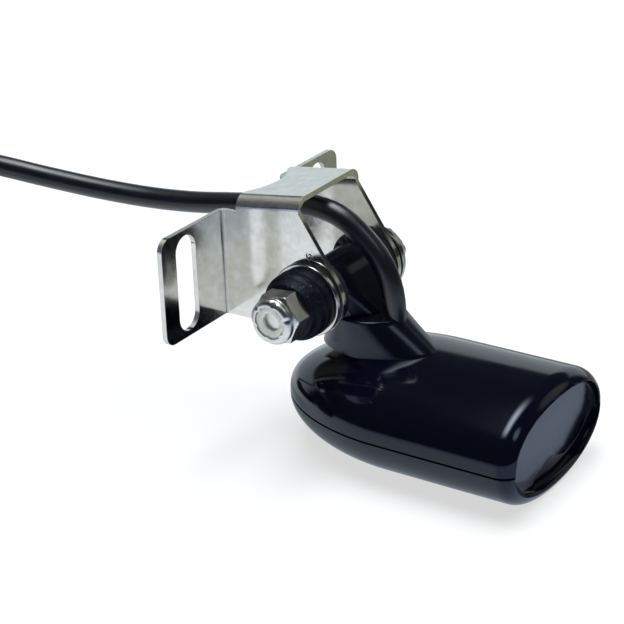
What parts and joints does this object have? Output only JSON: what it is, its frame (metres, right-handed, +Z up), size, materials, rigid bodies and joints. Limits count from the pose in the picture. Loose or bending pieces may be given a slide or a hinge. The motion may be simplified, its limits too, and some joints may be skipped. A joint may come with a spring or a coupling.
{
  "type": "transom-mount sonar transducer",
  "caption": "Boat-transom sonar transducer: glossy streamlined housing hinged on a folded stainless bracket, with a coiled cable ending in a round plug.",
  "frame": {"origin": "midway between the bracket's two screw slots, on the ears' transom face", "axes": "+X aft, away from the transom; +Y to the side of the pivot bolt's head; +Z up"},
  "size_m": [0.2877, 0.1145, 0.0634],
  "materials": {
    "stainless": "polished stainless sheet with fine scuffs",
    "washer_steel": "bright stamped washer",
    "hardware": "bright machined steel",
    "ratchet": "satin moulded nylon",
    "nylon_black": "satin nylon",
    "nylon_white": "translucent off-white nylon",
    "rubber": "matte rubber",
    "housing": "high-gloss moulded plastic",
    "potting": "cured casting resin",
    "ceramic": "fired ceramic",
    "cork": "pressed cork sheet",
    "wire_red": "insulated wire",
    "wire_grey": "insulated wire",
    "sensor": "dipped bead",
    "cable_jacket": "semi-gloss extruded jacket",
    "tie": "woven hook strap",
    "plug": "satin moulded plastic",
    "pin_gold": "plated contact"
  },
  "bodies": {
    "bracket": {"bracket": "stainless", "ratchet_near": "ratchet", "ratchet_far": "ratchet", "pivot_bolt": "hardware", "head_washer": "washer_steel", "head_rubber_washer": "rubber", "slip_washer": "nylon_black", "nut_washer": "washer_steel", "rubber_washer_inner": "rubber", "rubber_washer_outer": "rubber", "lock_nut": "hardware", "nut_insert": "nylon_white", "cable": "cable_jacket", "cable_coil": "cable_jacket", "coil_ties": "tie", "cable_tail": "cable_jacket", "plug_strain_relief": "plug", "plug_body": "plug", "plug_collar": "plug", "plug_pins": "pin_gold"},
    "transducer": {"upper_housing": "housing", "lower_housing": "housing", "potting_fill": "potting", "piezo_disc": "ceramic", "cork_backing": "cork", "lead_wire_signal": "wire_red", "lead_wire_ground": "wire_grey", "temperature_sensor": "sensor"}
  },
  "joints": [
    {"name": "tilt", "type": "hinge", "parent": "bracket", "child": "transducer", "pos_m": [0.0255, 0, -0.004], "axis": [0, 1, 0], "range_deg": [-80, 20], "deforming": ["cable"]}
  ]
}
